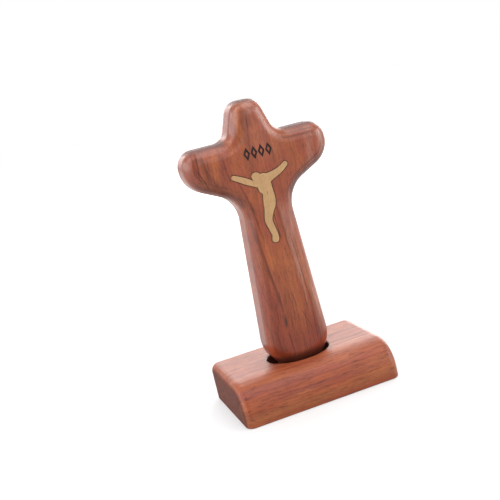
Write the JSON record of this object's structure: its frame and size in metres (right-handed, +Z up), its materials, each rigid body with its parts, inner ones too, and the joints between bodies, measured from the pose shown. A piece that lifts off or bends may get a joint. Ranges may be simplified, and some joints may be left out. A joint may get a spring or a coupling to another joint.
{
  "type": "wooden crucifix",
  "caption": "Hand-held wooden cross with rounded lobes and a flush inlaid figure, standing in an oval socket in its own wooden stand.",
  "frame": {"origin": "middle of the stand's underside, on the surface it rests on", "axes": "+Z up along the cross, +X to the viewer's right along the stand, +Y away from the viewer; the figure faces -Y"},
  "size_m": [0.07, 0.0468, 0.1278],
  "materials": {
    "stand_wood": "reddish brown hardwood, satin, grain along the stand",
    "cross_wood": "reddish brown hardwood, hand-rubbed satin, grain up the stem",
    "inlay_wood": "pale golden wood, satin, sanded flush"
  },
  "bodies": {
    "stand": {"stand": "stand_wood"},
    "cross": {"cross": "cross_wood", "corpus_inlay": "inlay_wood"}
  },
  "joints": [
    {"name": "cross_lift", "type": "slide", "parent": "stand", "child": "cross", "axis": [0, 0, 1], "range_m": [0, 0.03]}
  ]
}
